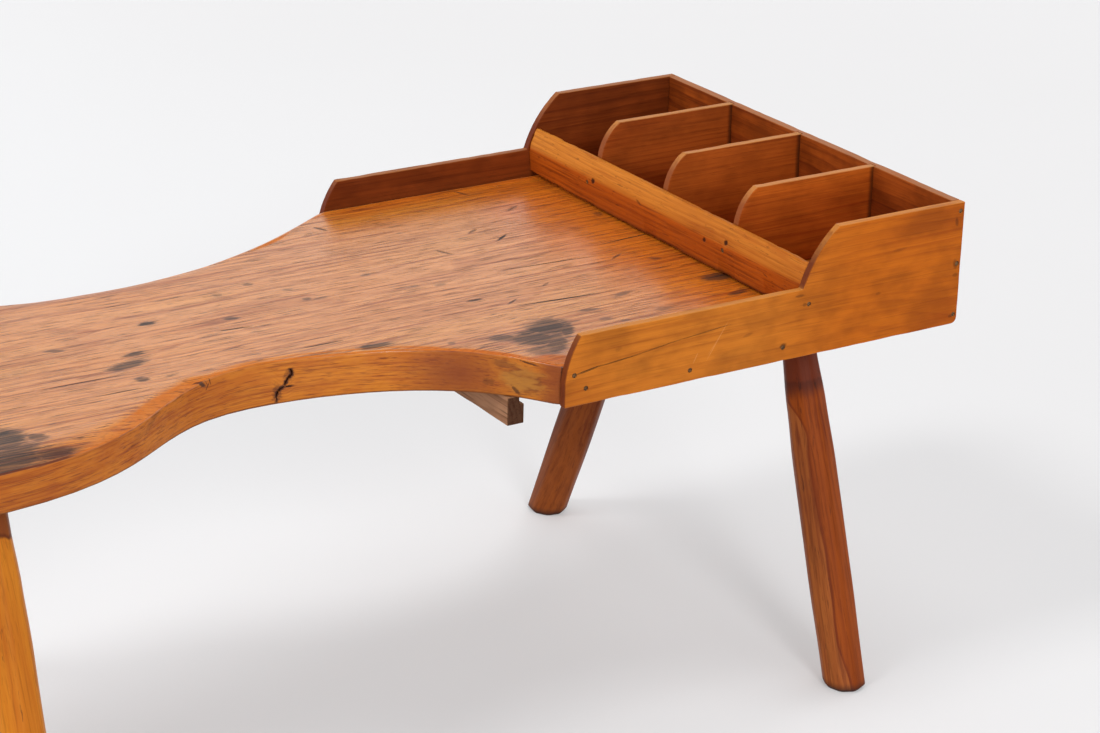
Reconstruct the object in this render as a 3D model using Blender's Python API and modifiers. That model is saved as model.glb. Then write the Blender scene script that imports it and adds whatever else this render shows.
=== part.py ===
"""A low work bench: a shaped seat plank with a boarded tray and a four-bay box at one end, on four splayed legs."""
import math

import bpy
import bmesh
from mathutils import Matrix, Vector

# Whole bench. Distances marked "from the box end" run along the plank towards the seat.
LENGTH = 1.143
WIDTH = 0.457
UNDERSIDE = 0.334
PLANK_THICK = 0.0354
BOX_HEIGHT = 0.114
JOINT_GAP = 0.0003
OVERRUN = 0.004

# Boards around the tray and box
SIDE_THICK = 0.0075
END_THICK = 0.009
RAIL_HEIGHT = 0.062
NEAR_BOARD_LENGTH = 0.4146
FAR_BOARD_LENGTH = 0.4015
RAIL_END_UPRIGHT = 0.022
NEAR_RAIL_SLANT = 0.0152
FAR_RAIL_SLANT = 0.0185
RAIL_END_BULGE = 0.0028
BOX_FRONT_LOW = 0.1738
BOX_FRONT_HIGH = 0.1380
BOX_FRONT_BULGE = 0.0046
BOARD_CORNER = 0.006
BOARD_SOFT_EDGE = 0.0006

# Dividers, counted from the far side
DIVIDER_THICK = 0.0075
DIVIDER_PLACE_SHARES = (0.528, 0.028, -0.476)
DIVIDER_SHOULDER = 0.0815
DIVIDER_FRONT_HIGH = 0.1385
DIVIDER_FRONT_BULGE = 0.0042
DADO_DEPTH = 0.003

# Rounded bar across the front of the box
BAR_FRONT = 0.1700
BAR_BELLY = 0.1717
BAR_BACK = 0.1588
BAR_TOP_FRONT = 0.1638
BAR_LIFT = 0.0015
BAR_BELLY_HEIGHT = 0.0600
BAR_TOP_HEIGHT = 0.0825
BAR_ROUND_BULGE = 0.0014
BAR_RELIEF_START = 0.060
BAR_RELIEF_RISE = 0.0042

# Outline of the plank. Insets are measured in from the inner faces of the side boards.
NEAR_SHOULDER_AT = 0.408
NEAR_CURVE_AT = 0.4185
NEAR_CURVE_INSET = 0.0072
NEAR_WAIST_AT = 0.641
NEAR_WAIST_INSET = 0.1140
FAR_SHOULDER_AT = 0.392
FAR_CURVE_AT = 0.410
FAR_CURVE_INSET = 0.0057
FAR_WAIST_AT = 0.672
FAR_WAIST_INSET = 0.0982
SEAT_WIDEST_AT = 0.925
SEAT_INSET = 0.0207
NEAR_CURVE_SLOPE = 1.02
FAR_CURVE_SLOPE = 0.59
NEAR_CURVE_REACH = 0.074
FAR_CURVE_REACH = 0.084
NEAR_WAIST_REACH = 0.107
FAR_WAIST_REACH = 0.116
NEAR_SEAT_REACH = 0.180
FAR_SEAT_REACH = 0.120
NEAR_SEAT_LEAD = 0.108
FAR_SEAT_LEAD = 0.168
SHOULDER_REACH = 0.006
SEAT_ROUND_SHARE = 0.56
OUTLINE_STEPS = 14
TOP_ARRIS = 0.003
LOW_ARRIS = 0.0008
ARRIS_STEPS = 2

# Shallow hollow of the seat
HOLLOW_AT = 0.955
HOLLOW_RADIUS = 0.125
HOLLOW_DEPTH = 0.006
HOLLOW_STEPS = 48
HOLLOW_RINGS = 6

# Legs: where each axis leaves the underside and where it meets the floor
LEG_TOP_OUT = 0.112
NEAR_TRAY_LEG_TOP_AT = 0.0953
FAR_TRAY_LEG_TOP_AT = 0.1085
NEAR_TRAY_FOOT_AT = 0.1030
FAR_TRAY_FOOT_AT = 0.1341
TRAY_FOOT_OUT = 0.2318
SEAT_LEG_TOP_AT = 0.877
SEAT_FOOT_AT = 0.887
SEAT_FOOT_OUT = 0.2318
LEG_RADIUS = 0.0205
LEG_SIDES = 8
LEG_TAPER_SHARES = ((0.00, 0.70), (0.12, 0.80), (0.27, 0.93), (0.42, 1.01), (0.72, 1.02), (1.00, 0.98))
LEG_SPARE_SHARE = 0.15
TENON_RADIUS = 0.012
TENON_DEPTH = 0.026
TENON_ROOT = 0.030
TENON_STEPS = 24

# Drawer runners under the plank
RUNNER_WIDE = 0.0162
RUNNER_DEEP = 0.0258
RUNNER_REBATE_WIDE = 0.0045
RUNNER_REBATE_DEEP = 0.0080
OUTER_RUNNER_AT = 0.4428
INNER_RUNNER_AT = 0.1900
OUTER_RUNNER_NEAR = 0.1855
OUTER_RUNNER_FAR = 0.1800
INNER_RUNNER_HALF = 0.1650

# Nails
NAIL_HEAD = 0.0019
NAIL_SHANK = 0.0011
NAIL_HEAD_THICK = 0.0012
NAIL_LENGTH = 0.024
NAIL_TIP = 0.004
NAIL_SUNK = 0.0004
NAIL_CLEAR = 0.0002
NAIL_STEPS = 12
PLANK_NAIL_SHARES = ((0.978, 0.78), (0.950, 0.40), (0.698, 0.285), (0.464, 0.35))
BAR_END_NAIL_IN = 0.0047
BAR_END_NAIL_HEIGHT = 0.0478
END_NAIL_HEIGHT_SHARES = (0.93, 0.50, 0.08)
BAR_NAIL_HEIGHT = 0.0590
BACK_NAIL_PLACE_SHARES = (-0.73, -0.25, 0.27, 0.75)
BACK_NAIL_HEIGHT = 0.0175
RUNNER_NAIL_OUT = 0.110

HALF_LENGTH = LENGTH / 2
HALF_WIDTH = WIDTH / 2
INNER_HALF = HALF_WIDTH - SIDE_THICK - JOINT_GAP
PLANK_TOP = UNDERSIDE + PLANK_THICK

bench = bpy.data.collections.new("cobblers_bench")
cutters = bpy.data.collections.new("cutters")


def clear_scene():
    for item in list(bpy.data.objects):
        bpy.data.objects.remove(item, do_unlink=True)
    for group in (bench, cutters):
        bpy.context.scene.collection.children.link(group)


def wood(name, colour, roughness):
    material = bpy.data.materials.new(name)
    material.use_nodes = True
    shader = material.node_tree.nodes["Principled BSDF"]
    shader.inputs["Base Color"].default_value = (*colour, 1.0)
    shader.inputs["Roughness"].default_value = roughness
    shader.inputs["Metallic"].default_value = 0.0
    return material


def iron(name):
    material = wood(name, (0.16, 0.14, 0.12), 0.6)
    material.node_tree.nodes["Principled BSDF"].inputs["Metallic"].default_value = 0.9
    return material


def x_at(distance):
    """World X of a distance measured from the box end."""
    return HALF_LENGTH - distance


def add(name, mesh, group, material=None):
    item = bpy.data.objects.new(name, mesh)
    group.objects.link(item)
    if material:
        mesh.materials.append(material)
    if group is cutters:
        item.hide_render = True
        item.display_type = "WIRE"
    return item


def cut(item, tool, operation="DIFFERENCE"):
    modifier = item.modifiers.new(operation.lower(), "BOOLEAN")
    modifier.operation = operation
    modifier.solver = "EXACT"
    modifier.object = tool


def soften(item):
    modifier = item.modifiers.new("soft_edge", "BEVEL")
    modifier.width = BOARD_SOFT_EDGE
    modifier.segments = 1
    modifier.limit_method = "ANGLE"
    modifier.angle_limit = math.radians(50)


def bow(start, end, bulge, steps=8):
    """Points of a circular arc from start to end that stands out by the bulge, on the right of the way."""
    start, end = Vector(start), Vector(end)
    along = (end - start).normalized()
    out = Vector((along.y, -along.x))
    half = (end - start).length / 2
    radius = (half * half + bulge * bulge) / (2 * bulge)
    centre = (start + end) / 2 - out * (radius - bulge)
    spread = math.asin(half / radius)
    turns = [spread * (2 * step / steps - 1) for step in range(steps + 1)]
    return [tuple(centre + radius * (math.sin(a) * along + math.cos(a) * out)) for a in turns]


def to_mesh(curve_object):
    """The closed mesh of a filled curve, in place of the curve."""
    bpy.context.view_layer.update()
    mesh = bpy.data.meshes.new_from_object(curve_object)
    mesh.transform(curve_object.matrix_world)
    bpy.data.objects.remove(curve_object, do_unlink=True)
    body = bmesh.new()
    body.from_mesh(mesh)
    bmesh.ops.remove_doubles(body, verts=body.verts, dist=JOINT_GAP / 30)
    bmesh.ops.dissolve_limit(body, angle_limit=math.radians(0.2), verts=body.verts, edges=body.edges)
    bmesh.ops.recalc_face_normals(body, faces=body.faces)
    body.to_mesh(mesh)
    body.free()
    return mesh


def flat_curve(name, thick):
    curve = bpy.data.curves.new(name, "CURVE")
    curve.dimensions = "2D"
    curve.fill_mode = "BOTH"
    curve.extrude = thick / 2
    return curve


def upright(name, points, y_low, y_high, material):
    """A piece whose outline is drawn from the side and runs from y_low to y_high."""
    curve = flat_curve(name, y_high - y_low)
    spline = curve.splines.new("POLY")
    spline.points.add(len(points) - 1)
    for point, (distance, height) in zip(spline.points, points):
        point.co = (x_at(distance), height, 0, 1)
    spline.use_cyclic_u = True
    item = add(name, curve, bench)
    item.rotation_euler = (math.radians(90), 0, 0)
    item.location = (0, (y_low + y_high) / 2, UNDERSIDE)
    return add(name, to_mesh(item), bench, material)


def box(name, low, high, group=cutters, material=None):
    body = bmesh.new()
    bmesh.ops.create_cube(body, size=1)
    low, high = Vector(low), Vector(high)
    bmesh.ops.scale(body, vec=high - low, verts=body.verts)
    bmesh.ops.translate(body, vec=(low + high) / 2, verts=body.verts)
    mesh = bpy.data.meshes.new(name)
    body.to_mesh(mesh)
    body.free()
    return add(name, mesh, group, material)


def turned(name, profile, steps, group, material=None):
    """A solid of revolution from a profile that runs down its outer side."""
    mesh = bpy.data.meshes.new(name)
    mesh.from_pydata([(x, 0, z) for x, z in profile], [(i, i + 1) for i in range(len(profile) - 1)], [])
    item = add(name, mesh, group, material)
    modifier = item.modifiers.new("turn", "SCREW")
    modifier.steps = steps
    modifier.render_steps = steps
    modifier.use_merge_vertices = True
    modifier.merge_threshold = JOINT_GAP / 30
    modifier.use_smooth_shade = steps > LEG_SIDES
    return item


def cylinder(body, radius, start, end, steps):
    """Adds a closed cylinder from start to end."""
    start, end = Vector(start), Vector(end)
    turn = (end - start).to_track_quat("Z", "Y").to_matrix().to_4x4()
    place = Matrix.Translation((start + end) / 2) @ turn
    bmesh.ops.create_cone(body, cap_ends=True, segments=steps, radius1=radius, radius2=radius,
                          depth=(end - start).length, matrix=place)


def cylinders(name, rods):
    body = bmesh.new()
    for radius, start, end, steps in rods:
        cylinder(body, radius, start, end, steps)
    mesh = bpy.data.meshes.new(name)
    body.to_mesh(mesh)
    body.free()
    return add(name, mesh, cutters)


def plank_knots():
    """Knots of the plank outline: place, handle before, handle after, in turn round the board."""
    end = x_at(END_THICK + JOINT_GAP)
    knots = []
    for side, shoulder, curve_at, curve_in, slope, curve_reach, waist_at, waist_in, waist_reach, lead, reach in (
            (-1, NEAR_SHOULDER_AT, NEAR_CURVE_AT, NEAR_CURVE_INSET, NEAR_CURVE_SLOPE, NEAR_CURVE_REACH,
             NEAR_WAIST_AT, NEAR_WAIST_INSET, NEAR_WAIST_REACH, NEAR_SEAT_LEAD, NEAR_SEAT_REACH),
            (1, FAR_SHOULDER_AT, FAR_CURVE_AT, FAR_CURVE_INSET, FAR_CURVE_SLOPE, FAR_CURVE_REACH,
             FAR_WAIST_AT, FAR_WAIST_INSET, FAR_WAIST_REACH, FAR_SEAT_LEAD, FAR_SEAT_REACH)):
        curve = Vector((x_at(curve_at), side * (INNER_HALF - curve_in)))
        inward = Vector((-math.cos(slope), -side * math.sin(slope)))
        corner = Vector((end, side * INNER_HALF))
        edge = Vector((x_at(shoulder), side * INNER_HALF))
        waist = Vector((x_at(waist_at), side * (INNER_HALF - waist_in)))
        seat = Vector((x_at(SEAT_WIDEST_AT), side * (INNER_HALF - SEAT_INSET)))
        ahead = Vector((1, 0))
        row = [(corner, corner, corner),
               (edge, edge, edge - ahead * SHOULDER_REACH),
               (curve, curve - inward * SHOULDER_REACH, curve + inward * curve_reach),
               (waist, waist + ahead * waist_reach, waist - ahead * lead),
               (seat, seat + ahead * reach, seat - ahead * SEAT_ROUND_SHARE * (LENGTH - SEAT_WIDEST_AT))]
        if side > 0:
            row = [(place, after, before) for place, before, after in reversed(row)]
        knots.append(row)
    tip = Vector((x_at(LENGTH), 0))
    swing = Vector((0, SEAT_ROUND_SHARE * (INNER_HALF - SEAT_INSET)))
    return knots[0] + [(tip, tip - swing, tip + swing)] + knots[1]


def round_arris(body, height, width):
    """Rounds the free outline edges of the plank at one face."""
    limit = x_at(FAR_BOARD_LENGTH)
    chosen = [edge for edge in body.edges
              if all(abs(vert.co.z - height) < JOINT_GAP / 10 for vert in edge.verts)
              and len({face.normal.z > 0.9 or face.normal.z < -0.9 for face in edge.link_faces}) == 2
              and all(vert.co.x < limit for vert in edge.verts)]
    bmesh.ops.bevel(body, geom=chosen, offset=width, segments=ARRIS_STEPS, profile=0.5, affect="EDGES")


def make_plank(material):
    curve = flat_curve("plank", PLANK_THICK)
    spline = curve.splines.new("BEZIER")
    knots = plank_knots()
    spline.bezier_points.add(len(knots) - 1)
    spline.resolution_u = OUTLINE_STEPS
    spline.use_cyclic_u = True
    for point, (place, before, after) in zip(spline.bezier_points, knots):
        point.handle_left_type = point.handle_right_type = "FREE"
        point.co = (*place, 0)
        point.handle_left = (*before, 0)
        point.handle_right = (*after, 0)
    drawn = add("plank", curve, bench)
    drawn.location = (0, 0, UNDERSIDE + PLANK_THICK / 2)
    mesh = to_mesh(drawn)
    body = bmesh.new()
    body.from_mesh(mesh)
    round_arris(body, PLANK_TOP, TOP_ARRIS)
    round_arris(body, UNDERSIDE, LOW_ARRIS)
    body.to_mesh(mesh)
    body.free()
    plank = add("plank", mesh, bench, material)
    cut(plank, make_hollow())
    return plank


def make_hollow():
    sphere = (HOLLOW_RADIUS ** 2 + HOLLOW_DEPTH ** 2) / (2 * HOLLOW_DEPTH)
    rings = [HOLLOW_RADIUS * (1 - step / HOLLOW_RINGS) for step in range(HOLLOW_RINGS + 1)]
    dish = [(r, sphere - HOLLOW_DEPTH - math.sqrt(sphere ** 2 - r ** 2)) for r in rings]
    profile = [(0, OVERRUN), (HOLLOW_RADIUS, OVERRUN)] + dish
    hollow = turned("seat_hollow", profile, HOLLOW_STEPS, cutters)
    hollow.location = (x_at(HOLLOW_AT), 0, PLANK_TOP)
    return hollow


def side_outline(length, slant):
    """Outline of a side board: low rail along the tray, rising to the box."""
    rail_end = bow((length, RAIL_END_UPRIGHT), (length - slant, RAIL_HEIGHT), RAIL_END_BULGE)
    front = bow((BOX_FRONT_LOW, RAIL_HEIGHT), (BOX_FRONT_HIGH, BOX_HEIGHT), BOX_FRONT_BULGE)
    quarter = BOARD_CORNER * (1 - math.sqrt(0.5))
    corner = bow((0, BOARD_CORNER), (BOARD_CORNER, 0), quarter, 4)
    return [(length, 0)] + rail_end + front + [(0, BOX_HEIGHT)] + corner


def make_side(name, side, length, slant, material):
    inner, outer = side * (HALF_WIDTH - SIDE_THICK), side * HALF_WIDTH
    board = upright(name, side_outline(length, slant), min(inner, outer), max(inner, outer), material)
    soften(board)
    return board


def make_end_board(material):
    outline = [(0, 0), (END_THICK, 0), (END_THICK, BOX_HEIGHT), (0, BOX_HEIGHT)]
    board = upright("end_board", outline, -INNER_HALF, INNER_HALF, material)
    soften(board)
    slot_half = DIVIDER_THICK / 2 + JOINT_GAP
    for count, share in enumerate(DIVIDER_PLACE_SHARES, 1):
        place = INNER_HALF * share
        low = (x_at(END_THICK + OVERRUN), place - slot_half, PLANK_TOP - JOINT_GAP)
        high = (x_at(END_THICK - DADO_DEPTH), place + slot_half, UNDERSIDE + BOX_HEIGHT + OVERRUN)
        cut(board, box(f"dado_{count}", low, high))
    return board


def make_divider(count, place, material):
    front = bow((BAR_BACK - JOINT_GAP, DIVIDER_SHOULDER), (DIVIDER_FRONT_HIGH, BOX_HEIGHT), DIVIDER_FRONT_BULGE)
    back = END_THICK - DADO_DEPTH + JOINT_GAP
    low = PLANK_THICK + JOINT_GAP
    outline = [(BAR_BACK - JOINT_GAP, low)] + front + [(back, BOX_HEIGHT), (back, low)]
    half = DIVIDER_THICK / 2
    divider = upright(f"divider_{count}", outline, place - half, place + half, material)
    soften(divider)
    return divider


def make_bar(material):
    low = PLANK_THICK + BAR_LIFT
    rounded = bow((BAR_BELLY, BAR_BELLY_HEIGHT), (BAR_TOP_FRONT, BAR_TOP_HEIGHT), BAR_ROUND_BULGE, 6)
    outline = [(BAR_FRONT, low)] + rounded + [(BAR_BACK, DIVIDER_SHOULDER), (BAR_BACK, low)]
    bar = upright("front_bar", outline, -INNER_HALF, INNER_HALF, material)
    soften(bar)
    wedge = bmesh.new()
    low_z = UNDERSIDE + low
    front, back = x_at(BAR_BELLY + OVERRUN), x_at(BAR_BACK - OVERRUN)
    rise = BAR_RELIEF_RISE * (INNER_HALF + OVERRUN - BAR_RELIEF_START) / (INNER_HALF - BAR_RELIEF_START)
    section = ((BAR_RELIEF_START, low_z), (INNER_HALF + OVERRUN, low_z + rise),
               (INNER_HALF + OVERRUN, low_z - OVERRUN), (BAR_RELIEF_START, low_z - OVERRUN))
    rings = [[wedge.verts.new((x, y, z)) for y, z in section] for x in (front, back)]
    wedge.faces.new(rings[0])
    wedge.faces.new(reversed(rings[1]))
    for i in range(len(section)):
        j = (i + 1) % len(section)
        wedge.faces.new((rings[0][j], rings[0][i], rings[1][i], rings[1][j]))
    bmesh.ops.recalc_face_normals(wedge, faces=wedge.faces)
    mesh = bpy.data.meshes.new("bar_relief")
    wedge.to_mesh(mesh)
    wedge.free()
    cut(bar, add("bar_relief", mesh, cutters))
    return bar


def make_leg(name, top, foot, plank, material):
    """A hand-shaved leg with a round tenon let into the plank from below."""
    top, foot = Vector(top), Vector(foot)
    up = (top - foot).normalized()
    length = (top - foot).length
    spare = LEG_SPARE_SHARE * length
    taper = [(LEG_RADIUS * share, -length * along) for along, share in LEG_TAPER_SHARES]
    first, last = taper[0][0], taper[-1][0]
    profile = [(0, spare), (first, spare)] + taper + [(last, -length - spare), (0, -length - spare)]
    leg = turned(name, profile, LEG_SIDES, bench, material)
    leg.location = top
    leg.rotation_mode = "QUATERNION"
    leg.rotation_quaternion = up.to_track_quat("Z", "Y")
    reach = LENGTH + WIDTH
    cut(leg, box(f"{name}_above", (-reach, -reach, UNDERSIDE - JOINT_GAP), (reach, reach, reach)))
    cut(leg, box(f"{name}_floor", (-reach, -reach, -reach), (reach, reach, 0)))
    tenon_top = top + up * TENON_DEPTH
    root = top - up * TENON_ROOT
    cut(leg, cylinders(f"{name}_tenon", [(TENON_RADIUS, root, tenon_top, TENON_STEPS)]), "UNION")
    mortise_top = tenon_top + up * JOINT_GAP
    mortise = [(TENON_RADIUS + JOINT_GAP, root, mortise_top, TENON_STEPS)]
    cut(plank, cylinders(f"{name}_mortise", mortise))
    return leg


def make_runner(name, place, rebate_side, y_low, y_high, material):
    """A drawer runner, rebated at the top on the side that faces the drawer."""
    outer, inner = place, place - RUNNER_WIDE
    top, low = -JOINT_GAP, -RUNNER_DEEP
    step = -RUNNER_REBATE_DEEP
    if rebate_side > 0:
        notch = inner + RUNNER_REBATE_WIDE
        outline = [(outer, low), (outer, top), (notch, top), (notch, step), (inner, step), (inner, low)]
    else:
        notch = outer - RUNNER_REBATE_WIDE
        outline = [(outer, low), (outer, step), (notch, step), (notch, top), (inner, top), (inner, low)]
    runner = upright(name, outline, y_low, y_high, material)
    soften(runner)
    return runner


def nail_list():
    """Name, head place on the surface, and outward direction of every nail."""
    nails = []
    for side, label in ((-1, "near"), (1, "far")):
        out, face = (0, side, 0), side * HALF_WIDTH
        length = NEAR_BOARD_LENGTH if side < 0 else FAR_BOARD_LENGTH
        for count, (along, up) in enumerate(PLANK_NAIL_SHARES, 1):
            nails.append((f"nail_{label}_plank_{count}", length * along, face, PLANK_THICK * up, out))
        nails.append((f"nail_{label}_bar", BAR_BELLY - BAR_END_NAIL_IN, face, BAR_END_NAIL_HEIGHT, out))
        for count, up in enumerate(END_NAIL_HEIGHT_SHARES, 1):
            nails.append((f"nail_{label}_end_{count}", END_THICK / 2, face, BOX_HEIGHT * up, out))
    for count, share in enumerate(DIVIDER_PLACE_SHARES[::2], 1):
        nails.append((f"nail_bar_divider_{count}", BAR_BELLY, INNER_HALF * share, BAR_NAIL_HEIGHT, (-1, 0, 0)))
    for count, share in enumerate(BACK_NAIL_PLACE_SHARES, 1):
        nails.append((f"nail_end_plank_{count}", 0, INNER_HALF * share, BACK_NAIL_HEIGHT, (1, 0, 0)))
    for label, place in (("outer", OUTER_RUNNER_AT), ("inner", INNER_RUNNER_AT)):
        for count, y in enumerate((-RUNNER_NAIL_OUT, RUNNER_NAIL_OUT), 1):
            middle = place - RUNNER_WIDE / 2
            nails.append((f"nail_{label}_runner_{count}", middle, y, -RUNNER_DEEP, (0, 0, -1)))
    return nails


def make_nails(boards, material):
    heads, shanks = [], []
    profile = [(0, 0), (NAIL_HEAD, 0), (NAIL_HEAD, -NAIL_HEAD_THICK), (NAIL_SHANK, -NAIL_HEAD_THICK),
               (NAIL_SHANK, NAIL_TIP - NAIL_LENGTH), (0, -NAIL_LENGTH)]
    for name, distance, y, height, direction in nail_list():
        out = Vector(direction)
        surface = Vector((x_at(distance), y, UNDERSIDE + height))
        length = NAIL_LENGTH + (RUNNER_DEEP - SIDE_THICK if direction[2] else 0)
        shape = profile[:4] + [(NAIL_SHANK, NAIL_TIP - length), (0, -length)]
        nail = turned(name, shape, NAIL_STEPS, bench, material)
        seat = surface - out * NAIL_SUNK
        nail.location = seat
        nail.rotation_mode = "QUATERNION"
        nail.rotation_quaternion = out.to_track_quat("Z", "Y")
        under_head = seat - out * (NAIL_HEAD_THICK + NAIL_CLEAR)
        heads.append((NAIL_HEAD + NAIL_CLEAR, under_head, surface + out * OVERRUN, NAIL_STEPS))
        bottom = seat - out * (length + NAIL_CLEAR)
        shanks.append((NAIL_SHANK + NAIL_CLEAR, bottom, surface + out * OVERRUN / 2, NAIL_STEPS))
    head_holes = cylinders("nail_head_holes", heads)
    shank_holes = cylinders("nail_shank_holes", shanks)
    for board in boards:
        cut(board, head_holes)
        cut(board, shank_holes)


def build():
    clear_scene()
    plank = make_plank(wood("plank_wood", (0.50, 0.22, 0.08), 0.45))
    near = make_side("near_side_board", -1, NEAR_BOARD_LENGTH, NEAR_RAIL_SLANT,
                     wood("near_side_wood", (0.52, 0.22, 0.06), 0.45))
    far = make_side("far_side_board", 1, FAR_BOARD_LENGTH, FAR_RAIL_SLANT,
                    wood("far_side_wood", (0.34, 0.12, 0.04), 0.5))
    end = make_end_board(wood("end_board_wood", (0.34, 0.12, 0.04), 0.5))
    dividers = [make_divider(count, INNER_HALF * share, wood(f"divider_{count}_wood", (0.30, 0.10, 0.03), 0.5))
                for count, share in enumerate(DIVIDER_PLACE_SHARES, 1)]
    bar = make_bar(wood("front_bar_wood", (0.45, 0.17, 0.05), 0.45))
    for name, top_at, foot_at, foot_out, side in (
            ("leg_tray_near", NEAR_TRAY_LEG_TOP_AT, NEAR_TRAY_FOOT_AT, TRAY_FOOT_OUT, -1),
            ("leg_tray_far", FAR_TRAY_LEG_TOP_AT, FAR_TRAY_FOOT_AT, TRAY_FOOT_OUT, 1),
            ("leg_seat_near", SEAT_LEG_TOP_AT, SEAT_FOOT_AT, SEAT_FOOT_OUT, -1),
            ("leg_seat_far", SEAT_LEG_TOP_AT, SEAT_FOOT_AT, SEAT_FOOT_OUT, 1)):
        top = (x_at(top_at), side * LEG_TOP_OUT, UNDERSIDE)
        foot = (x_at(foot_at), side * foot_out, 0)
        make_leg(name, top, foot, plank, wood(f"{name}_wood", (0.30, 0.10, 0.03), 0.5))
    outer = make_runner("runner_outer", OUTER_RUNNER_AT, 1, -OUTER_RUNNER_NEAR, OUTER_RUNNER_FAR,
                        wood("runner_outer_wood", (0.28, 0.12, 0.06), 0.7))
    inner = make_runner("runner_inner", INNER_RUNNER_AT, -1, -INNER_RUNNER_HALF, INNER_RUNNER_HALF,
                        wood("runner_inner_wood", (0.28, 0.12, 0.06), 0.7))
    make_nails([plank, near, far, end, bar, outer, inner] + dividers, iron("nail_iron"))


build()
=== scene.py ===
"""Looks for a low wooden cobblers bench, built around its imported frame. Metres, +Z up."""

from math import cos, pi, radians, sin, sqrt

import bmesh
import bpy
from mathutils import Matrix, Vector, noise


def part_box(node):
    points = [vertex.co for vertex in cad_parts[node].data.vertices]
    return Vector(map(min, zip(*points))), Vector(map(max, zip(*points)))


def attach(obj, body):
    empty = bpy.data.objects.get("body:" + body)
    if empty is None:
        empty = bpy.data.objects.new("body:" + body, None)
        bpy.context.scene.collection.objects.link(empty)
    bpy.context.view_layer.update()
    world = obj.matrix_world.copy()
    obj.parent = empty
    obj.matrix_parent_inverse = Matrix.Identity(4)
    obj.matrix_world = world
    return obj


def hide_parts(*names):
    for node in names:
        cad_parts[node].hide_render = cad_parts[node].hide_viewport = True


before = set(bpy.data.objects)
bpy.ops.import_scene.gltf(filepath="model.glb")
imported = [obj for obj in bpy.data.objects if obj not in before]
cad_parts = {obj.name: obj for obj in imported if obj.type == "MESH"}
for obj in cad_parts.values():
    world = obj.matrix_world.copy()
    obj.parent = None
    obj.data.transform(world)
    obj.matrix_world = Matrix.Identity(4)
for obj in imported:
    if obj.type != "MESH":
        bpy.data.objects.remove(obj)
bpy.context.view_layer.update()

PLANK_TOP = 0.3694
UNDERSIDE = 0.3340
MID_HEIGHT = 0.3500
RAIL_TOP = 0.3960
OUTER_HALF = 0.2285
BOX_INNER_END = 0.5618
ARRIS = 0.0014
SEAT_CENTRE, SEAT_RADIUS, SEAT_DEPTH = -0.3835, 0.125, 0.006
FLOOR_SIZE = 40
FLOOR_LIFT = 0.24
CAMERA_PLACE = (-1.0801, -2.1315, 1.2720)
CAMERA_TURN = (68.348, -1.328, -32.177)
CAMERA_LENS = 97.63
CAMERA_SENSOR = 36

# Worn top edge of the plank: place along the bench, how far in the wear reaches, how deep it is at the edge.
NEAR_EDGE_WEAR = (
    (-0.60, 0.010, 0.0020), (-0.36, 0.020, 0.0030), (-0.30, 0.026, 0.0036), (-0.25, 0.025, 0.0042),
    (-0.20, 0.020, 0.0046), (-0.16, 0.017, 0.0046), (-0.125, 0.0125, 0.0040), (-0.105, 0.0055, 0.0016),
    (-0.09, 0.0080, 0.0011), (0.06, 0.0095, 0.0013), (0.10, 0.0072, 0.0012), (0.15, 0.0062, 0.0014),
    (0.178, 0.0045, 0.0014), (0.60, 0.0040, 0.0010))
FAR_EDGE_WEAR = (
    (-0.60, 0.008, 0.0015), (-0.30, 0.010, 0.0022), (-0.10, 0.006, 0.0016), (0.10, 0.0045, 0.0010),
    (0.60, 0.0040, 0.0010))

# How far the sawn near edge leans in at the top: place along the bench, distance.
NEAR_EDGE_LEAN = (
    (-0.20, 0.0), (-0.15, 0.003), (-0.11, 0.007), (-0.06, 0.011), (-0.02, 0.010), (0.01, 0.008),
    (0.06, 0.009), (0.10, 0.009), (0.13, 0.006), (0.150, 0.0), (0.60, 0.0))


def in_metres(*rows):
    """Oval marks: place, half length and half width in millimetres, then turn in degrees and darkness."""
    return tuple((*(value / 1000 for value in row[:4]), *row[4:]) for row in rows)


# Stains, knocks and cracks on the plank's top, whose place is x and y.
STAINS = in_metres(
    (195, -139, 24, 19, 30, 1), (184, -172, 32.5, 10, 55, 0.9), (171, -156, 23, 19, -15, 1),
    (150, -144, 15, 9, -20, 0.85), (165, -184, 18.5, 11, -25, 0.75), (206, -154, 19, 6, 55, 0.95),
    (-298, -148, 28, 18, 70, 1), (-274, -152, 10, 8, -55, 0.85), (-298, -168, 26, 12, 10, 0.9),
    (-318, -186, 52, 19, 10, 1), (-272, -182, 22, 8.5, 10, 1), (-151, -48, 21, 8.5, 15, 0.95),
    (-136, -29, 11, 5, 0, 0.95), (-154, -82, 6.5, 5.5, -10, 0.95), (-97, 30, 9.5, 5, -15, 1),
    (-191, 9, 9.5, 4, -15, 0.75), (-30, 8, 8, 4, -15, 0.9), (49, 19, 4.5, 4, -10, 0.7),
    (45, 47, 5, 3.5, -10, 0.55), (21, 76, 5, 4, 0, 0.75), (-15, 64, 5, 5, 0, 0.55),
    (46, -107, 17, 5.5, -5, 1), (105, -133, 4, 3.5, 0, 0.7), (296, -102, 12.5, 4, 10, 0.7),
    (249, -121, 9.5, 3, -5, 0.8), (250, -146, 6, 4, -10, 0.7), (263, -157, 6, 3, -5, 0.65),
    (308, -150, 10, 4.5, -5, 0.55), (395, -105, 18, 10, -5, 0.9), (388, -147, 13.5, 5, 20, 0.75),
    (374, -38, 6.5, 3.5, -25, 0.7), (397, 91, 5, 5.5, -20, 0.6), (168, -6, 6.5, 3.5, 0, 0.6),
    (123, 48, 5.5, 3.5, 20, 0.6))
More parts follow.
